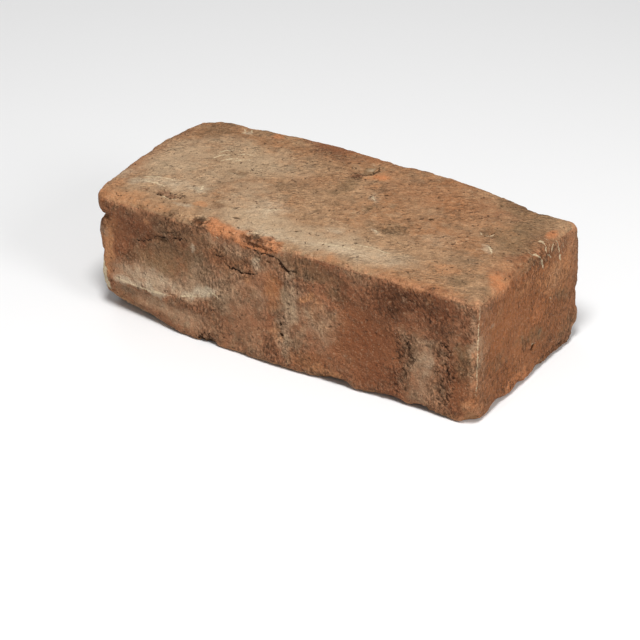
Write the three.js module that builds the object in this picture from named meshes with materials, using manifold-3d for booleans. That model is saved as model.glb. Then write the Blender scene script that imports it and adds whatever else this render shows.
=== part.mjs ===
// A hand-moulded clay building brick, worn by an earlier life in a wall. Millimetres, +Z up.
//
// The brick is one piece of fired clay and lies on its bed face. Its length runs along X, its front
// stretcher face looks along -Y, and the origin is on the floor under the middle of the brick.
//
// It is made as the real one is. A rectangular blank comes first, with its arrises worn round. The
// blank then slumps out of square, as wet clay does when the mould is drawn off. Last, the spalls,
// scars and fissures are cut away.
//
// Places on the brick are given in shares of its length, width and height, counted from its lower
// left front corner, and called s, v and t.

import * as THREE from 'three';
import { mergeVertices } from 'three/addons/utils/BufferGeometryUtils.js';
import Module from 'manifold-3d';

const { degToRad, lerp, smoothstep } = THREE.MathUtils;

// The blank, between its faces.
const length = 215;
const width = 102.5;
const height = 65;

// Radii of the worn arrises, how far they wander from them, how often they do so along an arris,
// and how far the wander of one arris is shifted from the next one's.
const topArris = 3.4;
const bedArris = 2.8;
const uprightArris = 3.2;
const arrisWander = 0.4;
const wanderTurns = 2.7;
const wanderShifts = [0.3, 0.45];

// The top front arris rolls over in a thick lip at its left end and is crisp at its right end. The
// right header's top arris is scuffed, and the left end of the lower front arris is rubbed away.
const lipArris = 6;
const lipReach = 125;
const crispArris = 2;
const scuffedArris = 6.5;
const scuffedMiddle = 34;
const scuffedSpread = 26;
const rubbedArris = 19;
const rubbedReach = 50;

// Both beds are flat in the middle and fall away by a little towards their rims.
const bedFlatMargin = 27;
const topRimDrop = 1.6;
const bedRimDrop = 0.5;

// How far the sides swell out of the blank half way along, at the foot and at the head.
const frontSwellFoot = 4;
const frontSwellHead = 0.6;
const backSwellFoot = 1.6;
const backSwellHead = 3;

// A long hollow in the front face over its left end, with a roll of clay under it. Both have their
// full depth near the left end and die out further along.
const hollowDepth = 3.4;
const hollowHeight = 42;
const hollowSpread = 10;
const hollowFull = 28;
const hollowReach = 84;
const rollDepth = 2.1;
const rollHeight = 20.5;
const rollSpread = 4.5;

// The left header's head swells over its foot. Near its front arris it is folded: a crease runs in
// under the lip, and a belly stands out under the crease.
const leftHeadSwell = 3.2;
const leftFootTuck = 3.8;
const creaseDepth = 2.6;
const creaseHeight = 51.5;
const creaseSpread = 4;
const bellyDepth = 3.2;
const bellyHeight = 40;
const bellySpread = 8;
const foldReach = 60;

// The right header leans: its head stands back, and its foot stands out.
const rightHeadTuck = 1.2;
const rightFootSwell = 0.8;

// Shallow ripples in the sides, left by the mould and by the fingers that lifted the wet brick, and
// how many of them run along each side and up it.
const rippleDepth = 0.35;
const frontRipples = [4.3, 1.2];
const backRipples = [3.6, 1.4];
const rightRipples = [2.3, 1.1];
const rippleShift = 0.2;

// Distance between grid lines over the faces, and the place of the extra grid line in each arris.
const gridStep = 5.4;
const arrisKnee = 0.5858;

// A scallop's radius is this many times its depth, and the ball that cuts it is a split icosahedron.
const scallopBlunt = 3;
const ballSplits = 2;

const size = [length, width, height];

const wave = (along, turns, shift) => Math.sin(2 * Math.PI * (turns * along + shift));
const bump = (at, middle, spread) => Math.exp(-(((at - middle) / spread) ** 2));

/** A smooth curve through a few [place along a side from 0 to 1, value] points. */
function curve(points) {
  const places = points.map(([place]) => place);
  const values = points.map(([, value]) => value);
  const spline = new THREE.CubicInterpolant(places, values, 1);
  return (place) => spline.evaluate(place)[0];
}

// How much of the swell each place along a side takes, from the left end or from the front.
const midway = curve([[0, 0], [0.5, 1], [1, 0]]);
const frontFoot = curve([[0, 0], [0.27, 0.55], [0.5, 1], [0.72, 0.45], [1, 0.1]]);
const backHead = curve([
  [0, -0.6], [0.12, 0], [0.32, 1], [0.45, 0.8], [0.62, 1.1], [0.8, 0.2], [0.92, -1], [1, -0.9],
]);
const leftHead = curve([[0, 0.1], [0.3, 0.7], [0.6, 1], [0.82, 0.5], [1, -0.8]]);
const rightHead = curve([[0, 0], [0.35, 1], [0.7, 0.6], [1, 1]]);
const rightFoot = curve([[0, -0.6], [0.3, 0.5], [0.7, 1], [1, 1.2]]);

// How much of the rim drop the front and back rims of the top bed take.
const frontRim = curve([[0, 1], [0.45, 1], [0.68, 0], [1, 0]]);
const backRim = curve([[0, 1], [0.3, 0.1], [0.65, 0.1], [0.85, 0.7], [1, 1]]);

/** How near a point of a bed is to its rim: 0 over the flat middle, 1 at the arris. */
function rim(x, y) {
  const fromEnd = Math.min(x, length - x);
  const fromSide = Math.min(y, width - y);
  return 1 - smoothstep(fromEnd, 0, bedFlatMargin) * smoothstep(fromSide, 0, bedFlatMargin);
}

/** The ripple at one place on a side, a share of the way along it and up it. */
function ripple(along, up, [turnsAlong, turnsUp]) {
  return rippleDepth * wave(along, turnsAlong, rippleShift) * wave(up, turnsUp, rippleShift);
}

/** How far the front face stands out of the blank. */
function frontOut(s, t) {
  const z = t * height;
  const nearLeft = 1 - smoothstep(s * length, hollowFull, hollowReach);
  const hollow = hollowDepth * bump(z, hollowHeight, hollowSpread) * nearLeft;
  const roll = rollDepth * bump(z, rollHeight, rollSpread) * nearLeft;
  const swell = lerp(frontSwellFoot * frontFoot(s), frontSwellHead * midway(s), t);
  return swell - hollow + roll + ripple(s, t, frontRipples);
}

function backOut(s, t) {
  const swell = lerp(backSwellFoot * midway(s), backSwellHead * backHead(s), t);
  return swell + ripple(s, t, backRipples);
}

function leftOut(v, t) {
  const z = t * height;
  const crease = creaseDepth * bump(z, creaseHeight, creaseSpread);
  const belly = bellyDepth * bump(z, bellyHeight, bellySpread);
  const nearFront = 1 - smoothstep(v * width, 0, foldReach);
  return (belly - crease) * nearFront + lerp(-leftFootTuck, leftHeadSwell * leftHead(v), t);
}

function rightOut(v, t) {
  const lean = lerp(rightFootSwell * rightFoot(v), -rightHeadTuck * rightHead(v), t);
  return lean + ripple(v, t, rightRipples);
}

function topOut(x, y) {
  const share = lerp(frontRim(x / length), backRim(x / length), y / width);
  return -topRimDrop * rim(x, y) * Math.max(0, share);
}

function bedOut(x, y) {
  return -bedRimDrop * rim(x, y);
}

/** Radius of the arris along one axis, between the near or far faces of the other two. */
function arrisRadius(axis, firstFar, secondFar, share) {
  const along = share * size[axis];
  const shift = (firstFar ? wanderShifts[0] : 0) + (secondFar ? wanderShifts[1] : 0);
  const wander = arrisWander * wave(share, wanderTurns + axis, shift);
  if (axis === 2) return (firstFar || secondFar ? uprightArris : lipArris) + wander;
  if (axis === 0 && !firstFar) {
    return secondFar
      ? lerp(lipArris, crispArris, smoothstep(along, 0, lipReach)) + wander
      : lerp(rubbedArris, bedArris, Math.min(1, along / rubbedReach)) + wander;
  }
  const plain = (secondFar ? topArris : bedArris) + wander;
  if (axis === 0 || !secondFar) return plain;
  return firstFar ? lerp(plain, scuffedArris, bump(along, scuffedMiddle, scuffedSpread)) : plain;
}

/** Rounds one square arris: points within the radius of both faces move onto its arc. */
function wear(point, first, second, firstFar, secondFar, radius) {
  const a = firstFar ? size[first] - point[first] : point[first];
  const b = secondFar ? size[second] - point[second] : point[second];
  if (a >= radius || b >= radius) return;
  const pull = Math.max(radius - a, radius - b) / Math.hypot(radius - a, radius - b);
  const wornA = radius - (radius - a) * pull;
  const wornB = radius - (radius - b) * pull;
  point[first] = firstFar ? size[first] - wornA : wornA;
  point[second] = secondFar ? size[second] - wornB : wornB;
}

/** Where a point of the blank, in millimetres from its lower left front corner, ends up. */
function form(x, y, z) {
  const point = [x, y, z];
  for (const [axis, first, second] of [[0, 1, 2], [1, 0, 2], [2, 0, 1]]) {
    const share = point[axis] / size[axis];
    for (const firstFar of [false, true]) {
      for (const secondFar of [false, true]) {
        const radius = arrisRadius(axis, firstFar, secondFar, share);
        wear(point, first, second, firstFar, secondFar, radius);
      }
    }
  }
  const [s, v, t] = point.map((value, axis) => value / size[axis]);
  return new THREE.Vector3(
    lerp(-length / 2 - leftOut(v, t), length / 2 + rightOut(v, t), s),
    lerp(-width / 2 - frontOut(s, t), width / 2 + backOut(s, t), v),
    lerp(-bedOut(point[0], point[1]), height + topOut(point[0], point[1]), t),
  );
}

/** Grid lines across one side of the blank, drawn together over the arris at each end. */
function gridLines(side) {
  const middle = side - 2 * topArris;
  const steps = Math.round(middle / gridStep);
  const even = Array.from({ length: steps + 1 }, (_, i) => topArris + (middle * i) / steps);
  return [0, arrisKnee * topArris, ...even, side - arrisKnee * topArris, side];
}

/** The whole brick before anything is cut from it: a gridded box, every grid point moved by form(). */
function blank() {
  const lines = size.map(gridLines);
  const geometry = new THREE.BoxGeometry(1, 1, 1, ...lines.map((each) => each.length - 1));
  const position = geometry.attributes.position;
  const point = new THREE.Vector3();
  for (let i = 0; i < position.count; i++) {
    point.fromBufferAttribute(position, i).addScalar(0.5);
    const nearest = (share, axis) => lines[axis][Math.round(share * (lines[axis].length - 1))];
    const [x, y, z] = point.toArray().map(nearest);
    position.setXYZ(i, ...form(x, y, z));
  }
  return geometry;
}

/**
 * A ball stretched to three half sizes (along, across and out of the surface) and set at a place on
 * a face, an arris or a corner. A share of 0 or 1 in the place stands for the face it lies on. The
 * ball is turned in the surface by an angle, and its middle is raised out of the surface.
 */
function ballAt(place, halfSizes, turn, raised) {
  const outward = new THREE.Vector3(...place.map((share) => (share === 0 ? -1 : share === 1 ? 1 : 0)));
  outward.normalize();
  const free = place.findIndex((share) => share !== 0 && share !== 1);
  const along = new THREE.Vector3().setComponent(Math.max(free, 0), 1);
  const across = new THREE.Vector3().crossVectors(outward, along).normalize();
  along.crossVectors(across, outward);
  const middle = form(...place.map((share, axis) => share * size[axis]));
  middle.addScaledVector(outward, raised);
  return new THREE.IcosahedronGeometry(1, ballSplits)
    .scale(...halfSizes)
    .rotateZ(degToRad(turn))
    .applyMatrix4(new THREE.Matrix4().makeBasis(along, across, outward))
    .translate(...middle);
}

/** Clay broken off in a shallow scallop. One with no length or width of its own is round. */
function scallop({ place, long, wide, deep, turn = 0 }) {
  const radius = scallopBlunt * deep;
  const spread = radius / Math.sqrt(radius ** 2 - (radius - deep) ** 2);
  const halfLong = long ? (long / 2) * spread : radius;
  const halfWide = wide ? (wide / 2) * spread : radius;
  return ballAt(place, [halfLong, halfWide, radius], turn, radius - deep);
}

/** A crack that opened in the wet clay or in the kiln, widest in its middle. */
function fissure({ place, long, wide, deep, turn = 0 }) {
  return ballAt(place, [long / 2, wide / 2, deep], turn, 0);
}

const spalls = [
  // along the lower front arris
  { place: [0.31, 0, 0], long: 11, deep: 1.6 },
  { place: [0.62, 0, 0], long: 11, deep: 2 },
  { place: [0.67, 0, 0], long: 13, deep: 2.3 },
  { place: [0.76, 0, 0], long: 12, deep: 1.4 },
  { place: [0.87, 0, 0], long: 9, deep: 1.5 },
  // along the top back arris
  { place: [0.115, 1, 1], long: 12, deep: 1.8 },
  { place: [0.52, 1, 1], long: 15, deep: 1 },
  { place: [0.9, 1, 1], long: 12, deep: 1.8 },
  // round the foot of the right header
  { place: [1, 0.22, 0], long: 16, deep: 2 },
  { place: [1, 0.42, 0], long: 12, deep: 1.8 },
  { place: [1, 0.6, 0], long: 10, deep: 1.6 },
  // at the corners
  { place: [1, 0, 0], deep: 4 },
  { place: [1, 1, 0], deep: 6 },
  { place: [0, 1, 1], deep: 3.4 },
];

const scars = [
  // on the top bed
  { place: [0.158, 0.15, 1], long: 13, wide: 7, deep: 1.1, turn: 15 },
  { place: [0.68, 0.41, 1], long: 14, wide: 10, deep: 0.5, turn: 30 },
  { place: [0.49, 0.87, 1], long: 15, wide: 5, deep: 0.8, turn: 100 },
  // on the front
  { place: [0.82, 0, 0.38], long: 30, wide: 9, deep: 0.7, turn: 92 },
  { place: [0.925, 0, 0.4], long: 34, wide: 10, deep: 0.9, turn: 85 },
];

const fissures = [
  // the crease under the lip, across the left front corner
  { place: [0, 0, creaseHeight / height], long: 3, wide: 44, deep: 2.4 },
  // under the rolled lip of the front
  { place: [0.17, 0, 0.735], long: 30, wide: 1.6, deep: 1.6, turn: 10 },
  { place: [0.4, 0, 0.69], long: 18, wide: 1.5, deep: 2, turn: 2 },
  { place: [0.46, 0, 0.865], long: 22, wide: 1.5, deep: 2.2, turn: -6 },
  { place: [0.525, 0, 0.81], long: 11, wide: 1.4, deep: 2, turn: -28 },
  // along the lap of clay on the top front arris
  { place: [0.295, 0, 0.955], long: 9, wide: 1.8, deep: 1.8, turn: 4 },
  { place: [0.445, 0, 0.955], long: 17, wide: 1.7, deep: 2.2, turn: -2 },
];

const wasm = await Module();
wasm.setup();

function toSolid(geometry) {
  geometry.deleteAttribute('normal');
  geometry.deleteAttribute('uv');
  const welded = mergeVertices(geometry);
  return new wasm.Manifold(
    new wasm.Mesh({
      numProp: 3,
      vertProperties: Float32Array.from(welded.attributes.position.array),
      triVerts: Uint32Array.from(welded.index.array),
    }),
  );
}

function toGeometry(solid) {
  const mesh = solid.getMesh();
  const geometry = new THREE.BufferGeometry();
  geometry.setAttribute('position', new THREE.BufferAttribute(mesh.vertProperties, 3));
  geometry.setIndex(new THREE.BufferAttribute(mesh.triVerts, 1));
  geometry.computeVertexNormals();
  return geometry;
}

/** Puts the origin on the floor, under the middle of the brick's own box. */
function standOnOrigin(geometry) {
  geometry.computeBoundingBox();
  const { min } = geometry.boundingBox;
  const middle = geometry.boundingBox.getCenter(new THREE.Vector3());
  return geometry.translate(-middle.x, -middle.y, -min.z);
}

const cuts = [...spalls.map(scallop), ...scars.map(scallop), ...fissures.map(fissure)];
const solid = cuts.reduce((brick, cut) => brick.subtract(toSolid(cut)), toSolid(blank()));

const firedClay = new THREE.MeshStandardMaterial({ color: '#8a5c43', roughness: 0.92, metalness: 0 });
const brick = new THREE.Mesh(standOnOrigin(toGeometry(solid)), firedClay);
brick.name = 'brick';

const group = new THREE.Group();
group.add(brick);
export default group;
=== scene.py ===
"""A hand-moulded clay brick, worn by an earlier life in a wall, lying on a pale studio floor.

The brick is one piece of fired clay. Its mesh is a fine copy of the CAD node, with the roughness,
pits, cracks and chips of the clay worked into it. Where soot, dust, raw clay and lime lie on it, and
where shade and light are painted into its colour, is kept as values on its points, which the clay's
material reads.

Places on the brick are in millimetres from the lower left front corner of its blank: x along the
brick, y back from the front face and z up from the bed.
"""

import math

import bpy
import numpy as np
from mathutils import Matrix, Vector


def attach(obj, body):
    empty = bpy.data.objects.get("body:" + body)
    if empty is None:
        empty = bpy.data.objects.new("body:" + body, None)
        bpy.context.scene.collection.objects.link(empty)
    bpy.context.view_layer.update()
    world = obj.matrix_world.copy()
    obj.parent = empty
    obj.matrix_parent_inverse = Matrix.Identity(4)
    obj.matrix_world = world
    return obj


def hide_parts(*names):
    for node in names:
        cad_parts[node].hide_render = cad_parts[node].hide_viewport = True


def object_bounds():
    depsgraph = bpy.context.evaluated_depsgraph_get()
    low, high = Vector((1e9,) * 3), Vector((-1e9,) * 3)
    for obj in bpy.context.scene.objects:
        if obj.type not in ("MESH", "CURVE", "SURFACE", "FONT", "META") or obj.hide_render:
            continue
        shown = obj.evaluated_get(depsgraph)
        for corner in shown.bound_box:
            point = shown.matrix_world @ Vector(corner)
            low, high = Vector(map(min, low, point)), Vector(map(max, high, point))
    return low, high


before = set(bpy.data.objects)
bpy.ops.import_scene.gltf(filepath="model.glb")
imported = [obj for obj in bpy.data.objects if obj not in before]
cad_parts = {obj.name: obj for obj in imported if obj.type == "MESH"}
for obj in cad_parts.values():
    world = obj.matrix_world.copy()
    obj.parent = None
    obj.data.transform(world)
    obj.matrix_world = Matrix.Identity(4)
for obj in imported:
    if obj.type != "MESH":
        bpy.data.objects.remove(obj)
cad_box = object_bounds()

MM = 0.001

# The blank that the brick slumped from, and how far the slumped clay stands out of it.
LENGTH, WIDTH, HEIGHT = 215.0, 102.5, 65.0
LEFT_SWELL, FRONT_SWELL = 2.86, 4.16
CORNER = np.array(cad_box[0]) / MM + (LEFT_SWELL, FRONT_SWELL, 0)

# How far the carved clay stands out of the CAD node's faces on the whole.
SPREAD = 0.3

# The fine mesh: the size of its first even squares, and the most triangles it may keep.
FINE_STEP = 0.65
MOST_TRIANGLES = 196_000

# The square sheet that the skin is laid out on, and how each face lies on it: its two directions
# and its place, for the faces that look along +x, -x, +y, -y, +z and -z.
SHEET = 379.0
SHEET_PLACES = [
    ((0, 0, -1), (0, 1, 0), (296, 8)),
    ((0, 0, 1), (0, 1, 0), (229.5, 125.5)),
    ((-1, 0, 0), (0, 0, 1), (220, 309.5)),
    ((1, 0, 0), (0, 0, 1), (6, 238)),
    ((1, 0, 0), (0, 1, 0), (6, 8)),
    ((1, 0, 0), (0, -1, 0), (6, 228)),
]

# Each face's starting corner and its two directions, across and up.
FACES = {
    "top": ((0, 0, HEIGHT), (1, 0, 0), (0, 1, 0)),
    "under": ((0, 0, 0), (1, 0, 0), (0, 1, 0)),
    "front": ((0, 0, 0), (1, 0, 0), (0, 0, 1)),
    "back": ((0, WIDTH, 0), (1, 0, 0), (0, 0, 1)),
    "left": ((0, 0, 0), (0, 1, 0), (0, 0, 1)),
    "right": ((LENGTH, 0, 0), (0, 1, 0), (0, 0, 1)),
    "near corner": ((LENGTH, 0, 0), (0.707, 0.707, 0), (0, 0, 1)),
}


# ---------------------------------------------------------------- noise, counted in millimetres

# The directions that soft noise can lean in at the corners of its grid.
LEANS = np.random.default_rng(1).normal(size=(64, 3))
LEANS /= np.linalg.norm(LEANS, axis=1)[:, None]

# Numbers that scramble the place of a cell, and ten bits of what comes out.
CELL_FACTORS = (374761393, 668265263, 2147483629)
SEED_FACTOR, SEED_START = 40503, 12345
SCRAMBLES = ((15, 2246822519), (13, 3266489917))
LAST_SHIFT = 16
TEN_BITS = 1023

# How strong soft noise is made, so that it reaches about 1, and each finer layer beside the last.
SOFT_STRENGTH, LAYER_STRENGTH = 1.6, 0.55

# A small pit's smallest radius and how much more it can be, and how wide the crease between two
# crumbs is, as shares of their spacing.
POCK_RADIUS, POCK_MORE, CREASE_WIDTH = 0.12, 0.3, 0.22


def rise(value, low, high):
    """0 below low, 1 above high, and smooth between."""
    share = np.clip((value - low) / (high - low), 0, 1)
    return share * share * (3 - 2 * share)


def scrambled(cells, seed):
    """A fixed pseudo-random whole number of 32 bits for each row of three whole numbers."""
    number = np.full(len(cells), seed * SEED_FACTOR + SEED_START, np.uint32)
    for axis, factor in enumerate(CELL_FACTORS):
        number += cells[:, axis].astype(np.uint32) * np.uint32(factor)
    for shift, factor in SCRAMBLES:
        number ^= number >> np.uint32(shift)
        number *= np.uint32(factor)
    return number ^ (number >> np.uint32(LAST_SHIFT))


def ten_bits(number, shift):
    return (number >> np.uint32(shift)) & TEN_BITS


def smooth_noise(points, grain, seed):
    """Soft lumps from about -1 to 1, a grain apart."""
    at = points / grain
    cell = np.floor(at).astype(np.int64)
    part = at - cell
    fade = part**3 * (part * (part * 6 - 15) + 10)
    total = np.zeros(len(points))
    for corner in np.ndindex(2, 2, 2):
        lean = LEANS[scrambled(cell + corner, seed) % len(LEANS)]
        weight = np.prod(np.where(corner, fade, 1 - fade), axis=1)
        total += weight * ((part - corner) * lean).sum(1)
    return total * SOFT_STRENGTH


def rough_noise(points, grain, layers, seed):
    """Lumps with finer lumps on them, from about -1 to 1."""
    total, strength = np.zeros(len(points)), 1.0
    for layer in range(layers):
        total += strength * smooth_noise(points, grain / 2**layer, seed + layer)
        strength *= LAYER_STRENGTH
    return total


def warped(points, amount, grain, seed):
    """The points pushed about, so that what is measured from them comes out ragged."""
    push = [rough_noise(points, grain, 2, seed + 10 * axis) for axis in range(3)]
    return points + amount * np.stack(push, 1)


def scattered(points, spacing, seed):
    """One spot at random in each cell of a grid: for every cell around each point, that cell and
    the square of how far off its spot is, in spacings."""
    at = points / spacing
    cell = np.floor(at).astype(np.int64)
    for step in np.ndindex(3, 3, 3):
        there = cell + step - 1
        place = scrambled(there, seed)
        jitter = np.stack([ten_bits(place, shift) for shift in (0, 10, 20)], 1) / TEN_BITS
        yield there, ((at - there - jitter) ** 2).sum(1)


def pocks(points, spacing, share, seed):
    """Round pits scattered at random: 1 in the middle of one and 0 outside."""
    deepest = np.zeros(len(points))
    for there, off_squared in scattered(points, spacing, seed):
        kind = scrambled(there, seed + 1)
        radius = POCK_RADIUS + POCK_MORE * ten_bits(kind, 10) / TEN_BITS
        present = ten_bits(kind, 0) < share * TEN_BITS
        depth = 1 - off_squared / radius**2
        deepest = np.maximum(deepest, np.where(present, depth, 0))
    return deepest


def crumbs(points, spacing, seed):
    """Rounded lumps packed side by side: how high each point lies on its lump, from 1 at the middle
    to about 0 at the rim, and how near it is to the crease between two lumps, from 0 to 1."""
    first = second = np.full(len(points), np.inf)
    for _, off_squared in scattered(points, spacing, seed):
        gap = np.sqrt(off_squared)
        second = np.minimum(second, np.maximum(gap, first))
        first = np.minimum(first, gap)
    return 1 - first**2, 1 - rise(second - first, 0, CREASE_WIDTH)


# ---------------------------------------------------------------- places on the brick

# How far a patch and a line reach into the clay from their face, and a distance for lines that is
# farther than any.
PATCH_DEPTH, LINE_DEPTH, FAR = 9, 7, 99.0


def on_face(points, face, across, up, turn):
    """Each point's distance from a place on a face: along and across a direction in it, and out."""
    start, first, second = (np.array(v, float) for v in FACES[face])
    away = points - (start + across * first + up * second)
    a, b, out = away @ first, away @ second, away @ np.cross(first, second)
    cos, sin = math.cos(math.radians(turn)), math.sin(math.radians(turn))
    return a * cos + b * sin, b * cos - a * sin, out


def patch(points, face, across, up, long, wide, turn, deep=PATCH_DEPTH):
    """1 in the middle of an oval patch on a face, falling to 0 at its rim."""
    along, beside, out = on_face(points, face, across, up, turn)
    return np.clip(1 - (along / long) ** 2 - (beside / wide) ** 2 - (out / deep) ** 2, 0, 1)


def beside_line(points, face, spots):
    """How far each point lies to one side (+) or the other (-) of a line of straight stretches on
    a face, in millimetres, and how far along the line it lies, from 0 to 1."""
    start, first, second = (np.array(v, float) for v in FACES[face])
    away = points - start
    flat = np.stack([away @ first, away @ second], 1)
    nearest, along = np.full(len(points), FAR), np.zeros(len(points))
    for step, (a, b) in enumerate(zip(spots, spots[1:])):
        a, b = np.array(a, float), np.array(b, float)
        share = np.clip((flat - a) @ (b - a) / ((b - a) @ (b - a)), 0, 1)
        off = flat - a - share[:, None] * (b - a)
        side = np.sign((b - a)[0] * off[:, 1] - (b - a)[1] * off[:, 0])
        gap = np.linalg.norm(off, axis=1)
        closer = gap < np.abs(nearest)
        nearest = np.where(closer, gap * np.where(side < 0, -1, 1), nearest)
        along = np.where(closer, (step + share) / (len(spots) - 1), along)
    nearest = np.where(np.abs(away @ np.cross(first, second)) < LINE_DEPTH, nearest, FAR)
    return nearest, along


# ---------------------------------------------------------------- what marks the brick

# Places and sizes are in millimetres, across and up on a face from its corner in FACES, and turns
# are in degrees.

# Hairline cracks: face, half width in the middle, and the spots that the crack runs through.
CRACKS = [
    ("front", 0.34, [(87, 57.5), (92, 59.2), (98, 58), (104, 58.8), (109, 58)]),
    ("front", 0.3, [(85, 63.6), (90, 64.6), (95, 64.8), (100, 65.6), (105, 66)]),
    ("front", 0.66, [(106.4, 59), (109.6, 56), (112, 54), (114, 53), (120, 54)]),
    ("front", 0.46, [(78, 47.4), (81, 45), (85, 45.4), (87, 44.4), (90, 45.6), (92.4, 45.4), (97, 48)]),
    ("front", 0.3, [(71, 49.6), (74, 49.4), (78, 50.6)]),
    ("front", 0.5, [(45.5, 49.6), (48, 51.6), (50, 51), (54, 53.4)]),
    ("front", 0.36, [(33, 47.4), (39, 48.4), (45, 49.6)]),
    ("front", 0.32, [(22, 41.5), (28, 43.2), (34, 46)]),
    ("front", 0.3, [(38, 51), (44, 53), (50, 55.6)]),
    ("front", 0.55, [(196.5, 39.4), (199, 38), (201, 36), (202.6, 34.4)]),
    ("front", 0.4, [(200, 31), (198.6, 28), (201, 25), (200, 22)]),
    ("front", 0.4, [(176, 20.4), (178, 18.8), (180, 17.4)]),
    ("front", 0.4, [(179.6, 37), (178.6, 34), (180.6, 31.4)]),
    ("top", 0.36, [(105, 83), (107.8, 86.6), (108.4, 91), (106, 95.4)]),
    ("top", 0.22, [(103, 76.5), (104.5, 80), (104, 83)]),
    ("top", 0.5, [(28, 13.4), (30, 14.6), (32, 14.2)]),
    ("right", 0.3, [(53, 18), (55, 16.6), (58, 16.4)]),
]

# Pale scratches, streaks of lime and a painted highlight, in the same way.
PALE_LINES = [
    ("near corner", 0.3, [(0.9, 66), (0.9, 13)]),
    ("right", 0.7, [(62.6, 60.5), (63.6, 57), (64, 54)]),
    ("right", 0.4, [(57, 64), (60, 62.6), (62.8, 60)]),
    ("right", 0.5, [(73.5, 66), (70, 63.4), (67.3, 60.6)]),
    ("right", 0.36, [(76, 63), (73.6, 61), (71.4, 59.6)]),
    ("right", 0.45, [(67.6, 60.4), (70, 58.6), (72.4, 56.6)]),
    ("right", 0.42, [(78, 63), (79, 58.6), (80, 55)]),
    ("right", 0.8, [(79.8, 55), (80.8, 53), (81.6, 50.6)]),
    ("right", 0.4, [(83, 60), (84.4, 56)]),
    ("right", 0.35, [(70, 36), (73, 34.4)]),
    ("right", 0.4, [(53, 18.4), (56, 17), (58, 17.2)]),
    # Partly painted highlight: these three lines run along the ridge low on the front, 19 to 29 mm up,
    # that faces up to the light; they are partly pale streaks.
    ("front", 0.5, [(12, 20.4), (24, 20), (34, 19.4), (48, 20.4)]),
    ("front", 0.4, [(52, 21.6), (58, 23.2), (66, 25.4)]),
    ("front", 0.4, [(68, 28), (72, 29), (76, 26.4)]),
    ("front", 0.5, [(72.6, 59.8), (73.8, 58.6)]),
    ("top", 0.45, [(31, 58), (32.6, 63), (37, 66.4)]),
    ("top", 0.4, [(36, 57), (38.6, 62), (43, 65)]),
    ("top", 0.4, [(41, 60), (45, 65), (49, 67)]),
    ("top", 0.4, [(29.4, 64), (32, 69), (36, 71.6)]),
    ("top", 0.35, [(39, 68), (43, 71), (48, 72)]),
    ("top", 0.45, [(25, 96.4), (28, 92.6), (27.4, 90)]),
    ("top", 0.35, [(29, 97), (31.4, 93.4)]),
    ("top", 0.5, [(43.6, 31), (45.6, 27), (44.6, 24.4)]),
    ("top", 0.45, [(12, 24), (20, 27), (30, 28.4)]),
    ("top", 0.45, [(15, 20.6), (22, 21.4), (29, 20.4)]),
    ("top", 0.5, [(32, 12.4), (36, 12), (41, 13.4)]),
    ("top", 0.4, [(80, 24), (86, 27), (90, 31)]),
    ("top", 0.35, [(120, 12), (133, 14), (144, 14.6)]),
    ("top", 0.35, [(136, 19), (148, 20.6), (158, 20)]),
    ("top", 0.5, [(138, 36.8), (140, 35.8), (142, 36.2)]),
    ("top", 0.4, [(119, 67), (121, 64), (123.6, 62)]),
    ("top", 0.5, [(191, 52), (194, 49.4), (196.4, 46)]),
    ("top", 0.35, [(181, 62), (183.6, 59.6), (187, 60.4), (188.6, 64)]),
]

# Pits: face, place across and up, half length, half width, turn, depth.
PITS = [
    ("top", 29.5, 14.2, 2.2, 0.8, 12, 2.2),
    ("top", 22, 14, 1.2, 0.8, 0, 0.6),
    ("top", 75, 13.2, 2.2, 0.8, 5, 0.8),
    ("top", 107.3, 16.5, 1.2, 0.8, 20, 1.2),
    ("top", 140.2, 27.8, 0.9, 0.7, 0, 0.9),
    ("top", 155.2, 60.7, 1.3, 0.9, 30, 1.2),
    ("top", 152, 72.8, 0.7, 0.6, 0, 0.6),
    ("top", 199.7, 61.2, 1.0, 0.8, 0, 1.0),
    ("top", 124.7, 12, 0.8, 0.7, 0, 0.7),
    ("top", 124.7, 70.8, 1.5, 0.9, 20, 0.9),
    ("top", 125, 54.4, 1.6, 0.9, 30, 0.9),
    ("top", 176.7, 22, 0.8, 0.6, 0, 0.6),
    ("top", 106.6, 88, 5.4, 0.9, 72, 0.9),
    ("front", 95, 64.8, 8, 1.3, 5, 0.9),
    ("front", 61, 63, 3, 1.0, 0, 0.8),
    ("front", 65, 63.6, 2, 0.8, 0, 0.6),
    ("top", 184, 60.6, 1.4, 0.7, 0, 0.5),
    ("top", 187.4, 64, 1.6, 0.7, 60, 0.6),
    ("top", 52, 54, 2.4, 0.8, 30, 0.5),
    ("top", 92, 46, 1.6, 0.8, 10, 0.5),
    ("top", 141, 41, 2, 0.8, 50, 0.5),
    ("top", 150, 43, 2, 0.8, 60, 0.5),
    ("top", 170.6, 87.6, 0.8, 0.6, 0, 0.7),
    ("top", 133, 70, 1.0, 0.6, 0, 0.5),
    ("top", 138.6, 66, 0.8, 0.6, 0, 0.5),
    ("top", 178, 54, 1.0, 0.6, 0, 0.5),
    ("top", 84, 22, 0.8, 0.6, 0, 0.5),
    ("front", 111, 18.6, 0.8, 1.4, 0, 1.2),
    ("front", 110.4, 24, 0.7, 1.2, 0, 1.0),
    ("front", 112, 28, 0.7, 1.0, 0, 0.7),
    ("front", 64.5, 2, 2.0, 1.2, 10, 1.4),
    ("right", 55, 16, 2.4, 1.2, 20, 0.9),
]

# Where the clay swells out: face, place across and up, half length, half width, turn, how far.
SWELLS = [
    ("front", 55, 2, 58, 8, -6, 0.9),
    ("front", 141, 0, 9, 5, 4, -1.5),
    ("front", 171, 0, 8, 5, 3, -1.5),
    ("front", 185, 0, 5, 4, 0, -1.0),
    ("left", 55, 64, 52, 8, 0, 0.8),
    ("right", 99, 46, 14, 18, 0, 1.8),
    ("right", 12, 66, 14, 8, 0, 0.5),
    ("right", 99, 13, 5, 5, 0, 0.9),
]

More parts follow.
